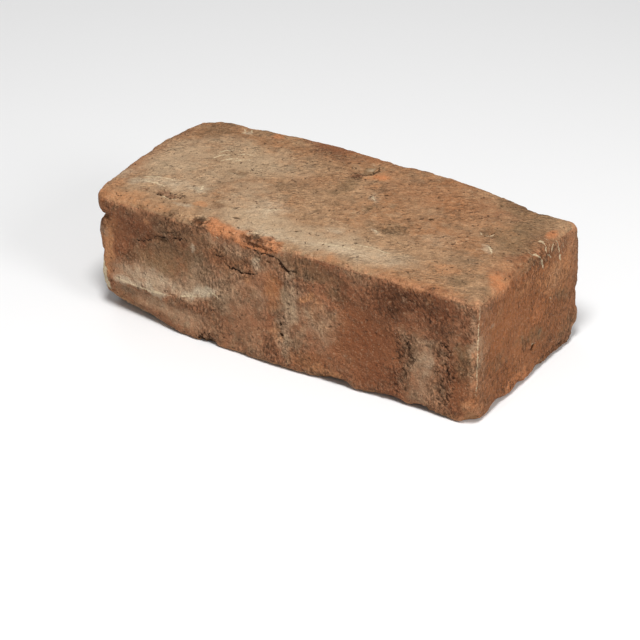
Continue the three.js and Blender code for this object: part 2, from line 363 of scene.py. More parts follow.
# Torn clay: face, place across and up, half length, half width, turn, how rough.
TORN = [
    ("front", 178, 29, 6, 11, 4, 0.72),
    ("front", 176, 12, 4, 7, 0, 0.7),
    ("front", 180, 57, 8, 7, 0, 0.6),
    ("front", 199, 24, 5.5, 20, 0, 0.88),
    ("front", 171, 52, 6, 8, 0, 0.5),
    ("front", 196, 54, 12, 8, 0, 0.4),
    ("front", 211, 52, 5, 13, 0, 0.5),
    ("front", 62, 63, 6, 2.6, 0, 0.6),
    ("front", 97, 62.6, 12, 3.4, 0, 0.55),
    ("front", 84, 51, 15, 7, 0, 0.5),
    ("front", 47, 51, 13, 4.5, 12, 0.5),
    ("front", 29, 43.5, 10, 4, 22, 0.4),
    ("front", 110.5, 23, 2.4, 6, 0, 0.5),
    ("front", 140, 48, 9, 5, 0, 0.4),
    ("front", 67, 3, 6, 4, 0, 0.9),
    ("front", 136, 3, 12, 3, 0, 0.6),
    ("top", 35, 15.6, 8, 3.4, 8, 0.8),
    ("top", 147, 42, 7, 5, 20, 0.5),
    ("top", 76, 92, 12, 5, 0, 0.4),
    ("top", 102, 80, 4, 5, 0, 0.7),
    ("top", 186, 63, 6, 5, 0, 0.4),
    ("right", 66, 60, 12, 5, 0, 0.45),
    ("right", 42, 5, 12, 4, 0, 0.5),
    ("right", 78, 4, 22, 4, 0, 0.6),
]

# Where the mould or a wiping hand left the clay smooth, in the same way, with how smooth.
SMOOTH = [
    ("front", 154, 27, 24, 28, 0, 1.0),
    ("front", 32, 67, 40, 7, 0, 1.0),
    ("front", 8, 34, 6, 26, 0, 0.7),
    ("front", 30, 24, 26, 9, 0, 0.9),
    ("front", 62, 27, 14, 7, 12, 0.7),
    ("front", 42, 35, 26, 9, 4, 0.7),
    ("front", 92, 24, 16, 14, 0, 0.6),
    ("front", 122, 26, 20, 22, 0, 0.5),
    ("front", 18, 45, 10, 12, 0, 0.5),
    ("front", 44, 10, 34, 9, -4, 0.8),
    ("front", 104, 40, 12, 14, 0, 0.7),
    ("front", 98, 18, 12, 8, 0, 0.6),
    ("front", 160, 67, 60, 4, 0, 0.6),
    ("right", 28, 40, 30, 30, 0, 0.5),
    ("top", 112.5, 84, 11, 7, 40, 0.9),
    ("top", 208, 30, 10, 22, 8, 0.6),
    ("top", 20, 6, 30, 8, 0, 0.7),
    ("top", 42, 46, 46, 50, 0, 0.4),
    ("top", 110, 18, 62, 20, 3, 0.6),
]

# Stains by kind, with some painted shade and light among them: face, place across and up, half length,
# half width, turn, strength.
STAINS = {
    "warm": [
        ("right", 46, 32, 66, 50, 0, 1.3),
        ("front", 157, 27, 24, 28, 0, 0.9),
        ("front", 208, 18, 10, 24, 0, 0.7),
        ("front", 128, 8, 16, 9, 0, 0.8),
        ("front", 82, 50, 18, 9, 0, 0.5),
        ("front", 107, 42, 6, 13, 0, 0.9),
        ("front", 10, 46, 10, 16, 0, 0.6),
        ("top", 150, 82, 54, 24, 0, 0.55),
        ("top", 172, 50, 30, 20, 0, 0.35),
        ("top", 5, 32, 10, 28, 0, 0.5),
        ("top", 84, 62, 14, 10, 0, 0.35),
    ],
    "rust": [
        ("front", 20, 50, 16, 11, 0, 0.8),
        ("front", 20, 38, 15, 9, 0, 0.8),
        ("front", 158, 26, 24, 28, 0, 1.0),
        ("front", 160, 51, 22, 14, 0, 0.8),
        ("front", 188, 52, 28, 16, 0, 0.8),
        ("front", 193, 58, 16, 8, 0, 0.8),
        ("front", 206, 24, 9, 24, 0, 0.65),
        ("front", 139, 6, 16, 6, 0, 0.7),
        ("front", 168, 12, 14, 12, 0, 0.6),
        ("front", 205, 9, 8, 8, 0, 0.6),
        ("front", 185, 67, 34, 4, 0, 0.7),
        ("front", 209, 40, 7, 20, 0, 0.5),
        ("front", 180, 57, 22, 9, 0, 0.9),
        ("top", 210, 50, 9, 46, 0, 0.65),
        ("top", 185, 84, 30, 18, 0, 0.35),
        ("top", 34, 16, 9, 4, 8, 0.9),
        ("top", 75, 13, 3, 1.6, 0, 0.9),
        ("top", 22, 14, 2.6, 1.8, 0, 0.8),
        ("top", 80, 93, 24, 9, 0, 0.45),
        ("top", 102, 80, 5, 5, 0, 0.8),
        ("top", 117, 37, 2.4, 1.8, 0, 0.7),
        ("top", 92, 46, 3.4, 2, 0, 0.7),
        ("top", 184, 63, 8, 5, 0, 0.4),
        ("right", 72, 18, 14, 8, 0, 0.3),
    ],
    "pale": [
        ("top", 30, 46, 44, 46, 0, 0.65),
        ("top", 14, 52, 16, 30, 0, 0.6),
        ("top", 72, 30, 20, 24, 0, 0.65),
        ("top", 86, 14, 36, 17, 4, 0.85),
        ("top", 32, 80, 18, 12, 0, 0.45),
        ("top", 136, 14, 46, 15, 4, 0.9),
        ("top", 60, 68, 28, 22, 10, 0.6),
        ("top", 124, 28, 14, 10, 0, 0.5),
        ("top", 168, 44, 12, 9, 0, 0.4),
        ("top", 195, 54, 12, 8, 0, 0.3),
        # Partly painted light: these two rows low on the left of the front are paler where its slope
        # below the hollow faces up to the light.
        ("front", 34, 26, 28, 10, 0, 0.65),
        ("front", 62, 28, 18, 9, 8, 0.65),
        ("front", 76, 33, 22, 16, 0, 0.55),
        ("front", 44, 12, 34, 7, -4, 0.5),
        ("front", 84, 54, 16, 7, 0, 0.5),
        ("front", 97, 50, 5, 6, 0, 0.6),
        ("front", 129, 30, 9, 20, 0, 0.4),
        ("front", 114, 36, 6, 24, 0, 0.9),
        ("front", 110, 19, 6, 12, 0, 0.5),
        ("front", 118, 34, 5, 18, 0, 0.5),
        ("front", 137, 30, 6, 14, 0, 0.4),
        ("front", 62, 40, 8, 9, 0, 0.45),
        ("front", 119, 45, 5, 7, 0, 0.5),
        ("front", 114, 13, 6, 8, 0, 0.5),
        ("front", 98, 33, 7, 12, 0, 0.4),
        ("front", 188, 25, 8, 18, 0, 0.55),
        ("front", 188, 8, 12, 6, 0, 0.3),
        ("front", 213, 44, 3, 26, 0, 0.5),
        ("right", 76, 44, 9, 8, 0, 0.5),
        ("right", 8, 40, 8, 16, 0, 0.25),
        ("right", 4, 28, 7, 20, 0, 0.3),
    ],
    "ash": [
        ("top", 200, 70, 14, 34, 0, 0.8),
        ("top", 197, 16, 11, 10, 0, 0.6),
        ("top", 188, 94, 20, 10, 0, 0.9),
        ("top", 14, 88, 16, 12, 0, 0.6),
        ("top", 104.6, 89, 7.5, 4, 77, 1.5),
        ("top", 104, 67, 8, 12, 0, 0.9),
        ("top", 140, 72, 8, 5, 0, 0.4),
        ("top", 59, 18.6, 3.6, 6, 0, 0.6),
        ("top", 64, 21.6, 5, 1.6, -8, 0.8),
        ("top", 50, 54, 8, 4.6, 10, 0.7),
        ("top", 36, 63, 13, 12, 0, 0.4),
        ("top", 146, 43, 10, 8, 0, 0.8),
        ("top", 125, 55, 6, 5, 0, 0.7),
        ("top", 186, 63, 8, 7, 0, 0.5),
        ("front", 46, 40, 26, 15, 0, 0.75),
        ("front", 32, 33, 18, 6, 0, 0.7),
        ("front", 50, 57, 20, 6, 0, 0.6),
        ("front", 68, 51, 15, 9, 0, 0.4),
        ("front", 78, 34, 22, 14, 0, 0.3),
        ("front", 113, 40, 5, 14, 0, 0.5),
        ("front", 128, 57, 26, 7, 0, 0.7),
        ("front", 141, 48, 10, 6, 0, 0.6),
        ("front", 209, 34, 7, 14, 0, 0.75),
        ("right", 50, 23, 18, 7, -25, 0.6),
        ("right", 64, 18, 12, 5, -30, 0.5),
        ("right", 82, 32, 15, 6, -20, 0.7),
        ("right", 20, 24, 14, 7, 0, 0.45),
        ("right", 68, 60, 12, 5, 0, 0.5),
        ("right", 88, 10, 14, 8, 0, 0.5),
        ("right", 50, 62, 18, 3, 0, 0.6),
    ],
    "deep": [
        # Some rows are painted shade. Those under the lip of clay along the top of the front, from its
        # left end to about 100 mm along, and the one over the nibble in its bottom edge, paint the
        # shade under those overhangs dark. The rest are dark clay.
        ("front", 42, 58, 30, 5, 0, 0.7),
        ("front", 18, 57, 18, 5, 0, 0.5),
        ("front", 130, 58, 26, 6, 0, 0.6),
        ("front", 146, 47, 9, 8, 0, 0.5),
        ("front", 145, 54.4, 2.6, 3, 0, 1.2),
        ("front", 23, 34, 10, 7, 0, 0.5),
        ("front", 170, 52, 12, 14, 0, 1.0),
        ("front", 191, 58, 18, 8, 0, 0.7),
        ("front", 45, 44, 20, 8, 8, 0.35),
        ("front", 176, 58, 11, 7, 0, 0.5),
        ("front", 199, 44, 12, 8, 0, 0.4),
        ("front", 66, 4, 9, 4, 0, 0.6),
        ("front", 91, 65, 9, 2.2, 0, 0.8),
        ("front", 62, 62.4, 5, 2.2, 0, 0.3),
        ("top", 80, 95, 24, 6, 0, 0.4),
        ("top", 14, 88, 14, 12, 0, 0.3),
        ("top", 59, 18, 4, 5, 0, 0.6),
        ("top", 50, 54, 6, 3, 0, 0.6),
        ("top", 102, 66, 6, 9, 0, 0.35),
        ("top", 206, 76, 10, 16, 0, 0.4),
        ("top", 184, 96, 16, 6, 0, 0.5),
        ("top", 146, 44, 6, 5, 0, 0.4),
        ("top", 102, 80, 4, 5, 0, 0.6),
        ("right", 68, 58.6, 13, 3.4, 0, 0.5),
        ("right", 86, 59, 9, 3, 0, 0.35),
        ("right", 78, 4, 24, 5, 0, 0.5),
        ("right", 70, 12, 22, 8, 0, 0.4),
    ],
    "soot_and_painted_shade": [
        # Soot, and painted shade: the rows under the lip of clay at the top of the front and along the
        # bottom edge of the front paint the shade under those ledges dark.
        ("front", 171, 50, 5, 5, 0, 0.8),
        ("front", 174, 59, 6, 6, 0, 0.55),
        ("front", 61.4, 62.6, 5, 1.8, 0, 0.8),
        ("front", 93, 65, 8, 2.6, 4, 1.5),
        ("front", 140, 2.6, 10, 1.4, 4, 0.7),
        ("front", 170, 2.4, 7, 1.4, 3, 0.7),
        ("front", 184, 2, 5, 1.2, 0, 0.7),
        ("front", 65, 2, 3, 2, 0, 0.8),
    ],
    "rubbed": [
        ("front", 30, 66.5, 38, 5.5, 0, 0.8),
        ("front", 7, 34, 4.4, 26, 0, 1.1),
        ("front", 32, 54, 3.4, 3.4, 0, 0.75),
        ("front", 11, 50, 7, 9, 0, 0.5),
        ("front", 105, 40, 6, 13, 0, 0.55),
        ("front", 38, 49, 5, 8, 0, 0.3),
        ("front", 80, 46, 12, 6, 0, 0.35),
        ("front", 89, 42, 5, 2, 0, 0.7),
        ("front", 108, 19, 5, 10, 0, 0.8),
        ("front", 136, 32, 5, 10, 0, 0.4),
        ("front", 124, 43, 4, 3, 0, 1.3),
        ("front", 130, 38, 5, 12, 0, 0.5),
        ("front", 136, 6, 16, 5, 0, 0.9),
        ("front", 130, 67, 34, 3.4, 0, 0.6),
        ("front", 186, 65.5, 30, 2.2, 0, 0.4),
        ("front", 213, 9, 6, 6, 0, 0.5),
        ("front", 14, 11, 14, 4, -4, 0.5),
        ("top", 20, 4, 30, 7, 0, 0.6),
        ("top", 6, 16, 6, 7, 0, 0.7),
        ("top", 92, 66, 10, 10, 0, 0.3),
        ("top", 112.5, 84, 10, 6, 40, 0.9),
        ("top", 53, 15.6, 5, 4, 0, 1.0),
        ("top", 115, 74, 5, 5, 0, 0.6),
        ("top", 187, 21, 9, 5, 0, 0.65),
        ("top", 206, 42, 7, 6, 0, 0.5),
        ("top", 209, 28, 6, 18, 0, 0.45),
        ("top", 185, 4, 36, 5, 0, 0.4),
        ("top", 150, 80, 45, 20, 0, 0.25),
        ("right", 76, 44, 22, 14, -15, 0.75),
        ("right", 50, 53, 22, 8, 0, 0.5),
        ("right", 18, 50, 14, 9, 0, 0.4),
        ("right", 22, 63, 16, 5, 0, 0.7),
        ("right", 40, 6, 14, 5, 0, 1.1),
    ],
    "dust_and_painted_light": [
        ("top", 28, 25, 22, 7, 8, 0.55),
        ("top", 14, 20, 8, 5, 30, 0.5),
        ("top", 45, 27, 5, 4, 100, 0.6),
        ("top", 48, 11, 7, 3, 0, 0.6),
        ("top", 85, 27, 16, 10, 30, 0.45),
        ("top", 96, 9, 22, 6, 0, 0.45),
        ("top", 104.4, 90, 5, 2.4, 77, 0.6),
        ("top", 138, 12, 40, 7, 3, 0.45),
        ("top", 122, 27, 8, 5, 0, 0.4),
        ("top", 121, 65, 6, 4, 120, 0.6),
        ("top", 194, 49, 7, 3, 130, 0.42),
        ("top", 140, 36, 5, 2, -20, 0.6),
        ("top", 29, 93.5, 5, 3, 40, 0.55),
        # These four rows on the front are partly dust and partly painted light, on the slope below the
        # hollow that faces up to the light.
        ("front", 34, 25, 26, 6, -1, 0.5),
        ("front", 29, 19.6, 22, 3.4, -1, 1.0),
        ("front", 64, 27.4, 12, 3.6, 18, 1.0),
        ("front", 70, 28.5, 8, 3, 0, 0.6),
        ("front", 58, 50, 2.6, 2.2, 0, 0.8),
        ("front", 97, 51, 2.6, 3, 0, 0.5),
        ("front", 109, 14.6, 3, 5, 0, 0.3),
        ("front", 188, 26, 5, 12, 0, 0.25),
        ("right", 14, 48, 5, 2, -15, 0.5),
    ],
    "raw": [
        ("front", 73, 66, 24, 5, -3, 1.5),
        ("front", 98, 62.6, 11, 5, -4, 1.5),
        ("front", 86, 63, 10, 4, -12, 1.2),
        ("top", 112.5, 84, 7, 4, 40, 0.8),
        ("top", 209.5, 81, 3.4, 6.6, 0, 0.9),
        ("top", 210.6, 26, 3.4, 12, 8, 0.85),
        ("top", 45, 96.5, 4.6, 3, 0, 0.8),
        ("right", 41, 5.6, 12, 4, 0, 1.8),
        ("right", 58, 31, 9, 12, 0, 0.45),
        ("right", 26, 62, 7, 3, 0, 0.6),
    ],
    "lime": [
        ("left", 3, 19, 8, 9, 0, 1.5),
        ("front", 4.4, 19, 4.2, 9, 0, 1.5),
    ],
}

# These sides get more stains of the same kinds, at random: how many on each, reach, strength.
CHANCE_FACES = ("back", "left", "under")
CHANCE_STAINS = {
    "warm": (6, 30, 0.8),
    "rust": (8, 20, 0.8),
    "pale": (6, 26, 0.55),
    "ash": (8, 20, 0.7),
    "deep": (6, 22, 0.7),
    "soot_and_painted_shade": (3, 8, 0.5),
    "rubbed": (9, 16, 0.7),
    "dust_and_painted_light": (5, 10, 0.45),
    "raw": (2, 5, 0.7),
}

# How much of its reach each of those is long and wide, how it is turned, and how strong it is
# beside the rest: from, to.
CHANCE_REACH = (0.4, 0.25), (1.3, 0.7)
CHANCE_TURN, CHANCE_STRENGTH = (-30, 30), (0.6, 1.2)


# ---------------------------------------------------------------- the brick's mesh

# Lumps in the clay: how far they stand out on the beds and on the sides, then their grain, layers
# and seed. Small pits: how deep on the beds and on the sides, then their spacing, share and seed.
LUMPS = [(0.1, 0.2, 22, 3, 10), (0.08, 0.2, 5, 3, 20)]
POCKS = [(0.3, 0.5, 5.5, 0.25, 100), (0.15, 0.3, 2.6, 0.4, 110)]

# How far the arrises are worn back, how far that wanders, and how deep their chips are.
ARRIS_WEAR, ARRIS_WANDER, ARRIS_CHIPS = 0.2, 0.6, 1.1

# Torn clay: how wide its crumbs are and how much flatter than wide, how far they stand out, the
# share of that which lies below the skin, how rough they are, and how deep the creases between.
CRUMB_WIDTH, CRUMB_FLATNESS = 3.4, 1.15
CRUMB_HEIGHT, CRUMB_SUNK, CRUMB_ROUGHNESS, CREASE_DEPTH = 0.6, 0.6, 0.4, 0.6

# A crack's depth for each millimetre of its half width, and how far out its flanks reach.
CRACK_DEPTH, CRACK_FLANK = 1.3, 0.9

# Torn patches and pits fade out towards their rims, so they are drawn larger by this much.
FADING_RIM = 1.2

# How far through the clay a swell reaches from its face.
SWELL_DEPTH = 12

# How far from a line its distance is kept on the points, and how far its width is.
LINE_REACH, WIDTH_REACH = 9.0, 4.0

# How many rounds of evening out with their neighbours the points get: against the steps left by the
# squares, to spread an arris over the faces beside it, to tell which face each stretch of skin
# belongs to, and to find the clay that fine and broad relief stands out of.
EVEN_STEPS, EVEN_ARRIS, EVEN_FACING = 8, 12, 12
EVEN_FINE, EVEN_BROAD = 8, 70

# Clay that is torn less than this may be thinned to fewer triangles.
THINNED_BELOW = 0.15

# How squarely the skin faces up or down on a bed, and along any axis beside an arris: from, to.
BED_FACING, FACE_FACING = (0.35, 0.65), (0.8, 0.97)


def relax(values, edges, rounds):
    """Each point's value drawn towards the mean of its neighbours, over some rounds."""
    first, second = edges.T
    count = np.bincount(edges.ravel(), minlength=len(values))
    for _ in range(rounds):
        mean = np.empty_like(values)
        for column in range(values.shape[1]):
            near_first = np.bincount(first, values[second, column], len(values))
            near_second = np.bincount(second, values[first, column], len(values))
            mean[:, column] = (near_first + near_second) / count
        values = (values + mean) / 2
    return values


def read_vectors(items, name):
    found = np.empty(len(items) * 3, np.float32)
    items.foreach_get(name, found)
    return found.reshape(-1, 3).astype(float)


def read_points(mesh):
    return read_vectors(mesh.vertices, "co") / MM - CORNER


def edges_of(mesh):
    edges = np.empty(len(mesh.edges) * 2, np.int32)
    mesh.edges.foreach_get("vertices", edges)
    return edges.reshape(-1, 2)


def put_points(mesh, points):
    mesh.vertices.foreach_set("co", ((points + CORNER) * MM).astype(np.float32).ravel())
    mesh.update()


def put_values(mesh, name, values):
    attribute = mesh.attributes.new(name, "FLOAT", "POINT")
    attribute.data.foreach_set("value", values.astype(np.float32))


def settled(piece):
    """Applies the piece's modifiers to its mesh."""
    graph = bpy.context.evaluated_depsgraph_get()
    mesh = bpy.data.meshes.new_from_object(piece.evaluated_get(graph))
    piece.modifiers.clear()
    piece.data = mesh
    return mesh


def fine_copy(node, name):
    """The CAD node's shape as a new piece of small even squares."""
    piece = bpy.data.objects.new(name, node.data.copy())
    bpy.context.collection.objects.link(piece)
    remesh = piece.modifiers.new("even squares", "REMESH")
    remesh.mode = "VOXEL"
    remesh.voxel_size = FINE_STEP * MM
    settled(piece)
    return piece


def thinned(piece, plain):
    """Leaves out triangles where the clay is plain, down to the most that the mesh may keep."""
    free = piece.vertex_groups.new(name="free to thin")
    free.add(np.flatnonzero(plain).tolist(), 1.0, "REPLACE")
    thin = piece.modifiers.new("fewer triangles", "DECIMATE")
    thin.vertex_group = free.name
    thin.ratio = MOST_TRIANGLES / sum(len(face.vertices) - 2 for face in piece.data.polygons)
    return settled(piece)


def torn_clay(points):
    """How torn the clay is at each point, how far out that moves it, and how deep it lies in the
    crease between two crumbs."""
    ragged = warped(points, amount=1.6, grain=5, seed=70)
    torn = np.zeros(len(points))
    for face, across, up, long, wide, turn, rough in TORN:
        share = patch(ragged, face, across, up, long * FADING_RIM, wide * FADING_RIM, turn)
        torn = np.maximum(torn, rough * rise(share, 0, 0.7))
    bent = warped(points, amount=1.1, grain=3.2, seed=170) * (1, 1, CRUMB_FLATNESS)
    lump, crease = crumbs(bent, CRUMB_WIDTH, seed=80)
    crease *= torn * rise(rough_noise(points, grain=4, layers=2, seed=90), -0.25, 0.3)
    high = torn * CRUMB_HEIGHT * (lump - CRUMB_SUNK)
    high += torn * CRUMB_ROUGHNESS * rough_noise(points, grain=4, layers=3, seed=95)
    return torn, high - CREASE_DEPTH * crease, crease


def clay_relief(points, arris, bed, crack, gape):
    """How far the clay's roughness, cracks and pits move each point outwards, in millimetres, and
    how torn the clay is there, how deep between two crumbs and how deep in a pit."""
    move = np.full(len(points), SPREAD)
    for on_bed, on_side, grain, layers, seed in LUMPS:
        move += (on_bed * bed + on_side * (1 - bed)) * rough_noise(points, grain, layers, seed)
    move -= arris * (ARRIS_WEAR + ARRIS_WANDER * rough_noise(points, grain=9, layers=3, seed=50))
    move -= arris * ARRIS_CHIPS * np.maximum(rough_noise(points, grain=4.2, layers=2, seed=60), 0)
    for face, across, up, long, wide, turn, reach in SWELLS:
        move += reach * patch(points, face, across, up, long, wide, turn, SWELL_DEPTH)

    torn, high, crease = torn_clay(points)
    move += high
    for on_bed, on_side, spacing, share, seed in POCKS:
        move -= (on_bed * bed + on_side * (1 - bed)) * pocks(points, spacing, share, seed)
    flank = 1 - rise(np.abs(crack), 0, CRACK_FLANK)
    move -= CRACK_DEPTH * gape * flank * rise(gape, 0.1, 0.4)
    jagged = warped(points, amount=0.6, grain=2.5, seed=120)
    pit = np.zeros(len(points))
    for face, across, up, long, wide, turn, depth in PITS:
        share = patch(jagged, face, across, up, long * FADING_RIM, wide * FADING_RIM, turn)
        share = rise(share, 0, 0.8)
        move -= depth * share
        pit = np.maximum(pit, share * min(depth, 1))
    return move, torn, crease, pit


def nearest_lines(points, lines, sway):
    """How far each point lies from the nearest of some lines, to one side or the other, and the
    half width of that line beside it. The lines sway to and fro."""
    jagged = warped(points, sway, grain=2.4, seed=150)
    nearest, width = np.full(len(points), LINE_REACH), np.zeros(len(points))
    for face, half_width, spots in lines:
        off, along = beside_line(jagged, face, spots)
        taper = 1 - (2 * along - 1) ** 4
        closer = np.abs(off) < np.abs(nearest)
        nearest = np.where(closer, off, nearest)
        width = np.where(closer, half_width * taper, width)
    return nearest, np.where(np.abs(nearest) < WIDTH_REACH, width, 0)


def chance_patches(kind, chance):
    """Rows of stains of one kind, at random over the sides that get such stains."""
    count, reach, strength = CHANCE_STAINS[kind]
    for face in CHANCE_FACES:
        _, first, second = FACES[face]
        spans = np.array([first, second]) @ (LENGTH, WIDTH, HEIGHT)
        for _ in range(count):
            across, up = chance.uniform(0, 1, 2) * spans
            long, wide = reach * chance.uniform(*CHANCE_REACH)
            turn = chance.uniform(*CHANCE_TURN)
            yield face, across, up, long, wide, turn, strength * chance.uniform(*CHANCE_STRENGTH)


def stains(points):
    """How strongly each kind of stain, and of painted shade and light, lies on each point, and how
    smooth the clay is there.
    """
    loose = warped(points, amount=3.0, grain=14, seed=200)
    loose = warped(loose, amount=1.3, grain=4, seed=240)
    chance = np.random.default_rng(5)
    found = {}
    for kind, rows in {**STAINS, "smooth": SMOOTH}.items():
        more = list(chance_patches(kind, chance)) if kind in CHANCE_STAINS else []
        clean = np.ones(len(points))
        for face, across, up, long, wide, turn, strength in rows + more:
            share = strength * patch(loose, face, across, up, long, wide, turn)
            clean *= 1 - np.clip(share, 0, 1)
        found[kind] = 1 - clean
    return found


def lay_out(mesh):
    """Maps the skin onto a square sheet, with the brick's six faces lying apart on it."""
    corners = np.empty(len(mesh.loops), np.int32)
    mesh.loops.foreach_get("vertex_index", corners)
    starts = np.empty(len(mesh.polygons), np.int32)
    mesh.polygons.foreach_get("loop_start", starts)
    outward = relax(read_vectors(mesh.vertices, "normal"), edges_of(mesh), EVEN_FACING)
    facing = np.add.reduceat(outward[corners], starts)
    axis = np.abs(facing).argmax(1)
    side = 2 * axis + (facing[np.arange(len(axis)), axis] < 0)
    side = np.repeat(side, np.diff(starts, append=len(corners)))
    points = read_points(mesh)[corners]
    spots = np.zeros((len(corners), 2))
    for number, (across, up, place) in enumerate(SHEET_PLACES):
        here = side == number
        spots[here] = points[here] @ np.array([across, up]).T + place
    layer = mesh.uv_layers.new(name="OFBake")
    layer.uv.foreach_set("vector", (spots / SHEET).astype(np.float32).ravel())


def work_clay(mesh):
    """Works the relief into the mesh, and keeps on its points what the material has to know. Gives
    the points where the clay is plain."""
    edges = edges_of(mesh)
    points = relax(read_points(mesh), edges, EVEN_STEPS)
    put_points(mesh, points)
    outward = relax(read_vectors(mesh.vertices, "normal"), edges, EVEN_STEPS)
    outward /= np.linalg.norm(outward, axis=1)[:, None]
    bed = rise(np.abs(outward[:, 2]), *BED_FACING)
    arris = 1 - rise(np.abs(outward).max(1), *FACE_FACING)
    arris = relax(arris[:, None], edges, EVEN_ARRIS)[:, 0]

    crack, gape = nearest_lines(points, CRACKS, sway=0.8)
    pale_line, breadth = nearest_lines(points, PALE_LINES, sway=0.3)
    move, torn, crease, pit = clay_relief(points, arris, bed, crack, gape)
    carved = points + outward * move[:, None]
    carved[:, 2] = np.maximum(carved[:, 2], 0)
    put_points(mesh, carved)
    normals = read_vectors(mesh.vertices, "normal")
    marks = {
        "bed": bed,
        "arris": arris,
        "torn": torn,
        "crease": crease,
        "pit": pit,
        "crack": crack,
        "gape": gape,
        "pale_line": pale_line,
        "breadth": breadth,
        "fine_relief": ((carved - relax(carved, edges, EVEN_FINE)) * normals).sum(1),
        "broad_relief": ((carved - relax(carved, edges, EVEN_BROAD)) * normals).sum(1),
        **stains(points),
    }
    for name, values in marks.items():
        put_values(mesh, name, values)
    return (gape == 0) & (breadth == 0) & (torn < THINNED_BELOW)


def make_brick():
    piece = fine_copy(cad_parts["brick"], "fired_brick")
    plain = work_clay(piece.data)
    mesh = thinned(piece, plain)
    lay_out(mesh)
    mesh.polygons.foreach_set("use_smooth", [True] * len(mesh.polygons))
    mesh.materials.clear()
    mesh.materials.append(fired_clay())
    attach(piece, "root")
    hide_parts("brick")


# ---------------------------------------------------------------- shader nodes

# A Mix node's sockets for each kind of value: the two that it takes and the one that it gives.
MIX_SOCKETS = {"FLOAT": (2, 3, 0), "VECTOR": (4, 5, 1), "RGBA": (6, 7, 2)}


def add(tree, kind, sockets=None, **settings):
    """Adds a shader node. A socket takes a value, or another node's output."""
    made = tree.nodes.new(f"ShaderNode{kind}")
    for name, value in settings.items():
        setattr(made, name, value)
    for name, value in (sockets or {}).items():
        if isinstance(value, bpy.types.NodeSocket):
            tree.links.new(value, made.inputs[name])
        else:
            made.inputs[name].default_value = value
    return made


def maths(tree, operation, first, second=0.0):
    return add(tree, "Math", {0: first, 1: second}, operation=operation).outputs[0]


def plus(tree, first, second):
    return maths(tree, "ADD", first, second)


def minus(tree, first, second):
    return maths(tree, "SUBTRACT", first, second)


def times(tree, first, second):
    return maths(tree, "MULTIPLY", first, second)


def larger(tree, first, second):
    return maths(tree, "MAXIMUM", first, second)


def about_zero(tree, value, reach):
    """A value from 0 to 1 moved to lie around 0, over a reach."""
    return times(tree, minus(tree, value, 0.5), reach)


def ramp(tree, value, low, high, start=0.0, end=1.0):
    """The value moved smoothly from start at low to end at high."""
    sockets = {"Value": value, "From Min": low, "From Max": high, "To Min": start, "To Max": end}
    return add(tree, "MapRange", sockets, interpolation_type="SMOOTHSTEP").outputs["Result"]


def mixed(tree, share, below, above, kind="RGBA", blend="MIX"):
    """A share of one colour, value or place laid over another."""
    first, second, result = MIX_SOCKETS[kind]
    sockets = {0: share, first: below, second: above}
    return add(tree, "Mix", sockets, data_type=kind, blend_type=blend).outputs[result]


def noise(tree, place, grain, detail=3.0, roughness=0.6):
    """Noise from 0 to 1 with lumps of a grain in millimetres."""
    return scaled_noise(tree, place, 1 / (grain * MM), detail, roughness)


def scaled_noise(tree, place, scale, detail, roughness):
    sockets = {"Vector": place, "Scale": scale, "Detail": detail, "Roughness": roughness}
    return add(tree, "TexNoise", sockets).outputs["Fac"]


def value_of(tree, name):
    """A value that is kept on the mesh's points."""
    return add(tree, "Attribute", attribute_name=name).outputs["Fac"]


def group(name, inputs, outputs):
    """An empty shader node group, with its input and output sockets."""
    tree = bpy.data.node_groups.new(name, "ShaderNodeTree")
    for direction, sockets in (("INPUT", inputs), ("OUTPUT", outputs)):
        for socket, kind in sockets.items():
            tree.interface.new_socket(socket, in_out=direction, socket_type=f"NodeSocket{kind}")
    return tree, tree.nodes.new("NodeGroupInput").outputs, tree.nodes.new("NodeGroupOutput").inputs


def placed(tree, inner, sockets):
    """A node group set in a material."""
    return add(tree, "Group", sockets, node_tree=inner).outputs


def toned(tree, colour, value, swing):
    """The colour made darker and lighter by up to a swing, as a noise goes from 0.3 to 0.7."""
    level = ramp(tree, value, 0.3, 0.7, minus(tree, 1.0, swing), plus(tree, 1.0, swing))
    grey = add(tree, "CombineColor", {"Red": level, "Green": level, "Blue": level}).outputs[0]
    return mixed(tree, 1.0, colour, grey, blend="MULTIPLY")


# ---------------------------------------------------------------- effects, as node groups

# How far the crumbs of torn clay slant, in degrees, and how their noise is stretched along that.
CRUMB_SLANT, CRUMB_STRETCH = 42, (1, 1, 0.42)


def ragged_film():
    """Breaks a soft patch up into a film with a ragged edge and bare specks. Grain is lumps to the
    metre."""
    inputs = {name: "Float" for name in ("Patch", "Grain", "Raggedness", "Softness")}
    tree, given, result = group("ragged film", {"Place": "Vector", **inputs}, {"Film": "Float"})
    lumps = scaled_noise(tree, given["Place"], given["Grain"], detail=6.0, roughness=0.7)
    edge = plus(tree, given["Patch"], about_zero(tree, lumps, given["Raggedness"]))
    low, high = minus(tree, 0.5, given["Softness"]), plus(tree, 0.5, given["Softness"])
    tree.links.new(ramp(tree, edge, low, high), result["Film"])
    return tree


def ragged_specks():
    """Ragged specks, where a noise runs low. Grain is lumps to the metre."""
    inputs = {"Place": "Vector", "Grain": "Float", "Share": "Float"}
    tree, given, result = group("ragged specks", inputs, {"Speck": "Float"})
    lumps = scaled_noise(tree, given["Place"], given["Grain"], detail=2.5, roughness=0.6)
    inside = plus(tree, times(tree, given["Share"], 0.25), 0.25)
    outside = plus(tree, inside, 0.06)
    tree.links.new(ramp(tree, lumps, outside, inside), result["Speck"])
    return tree


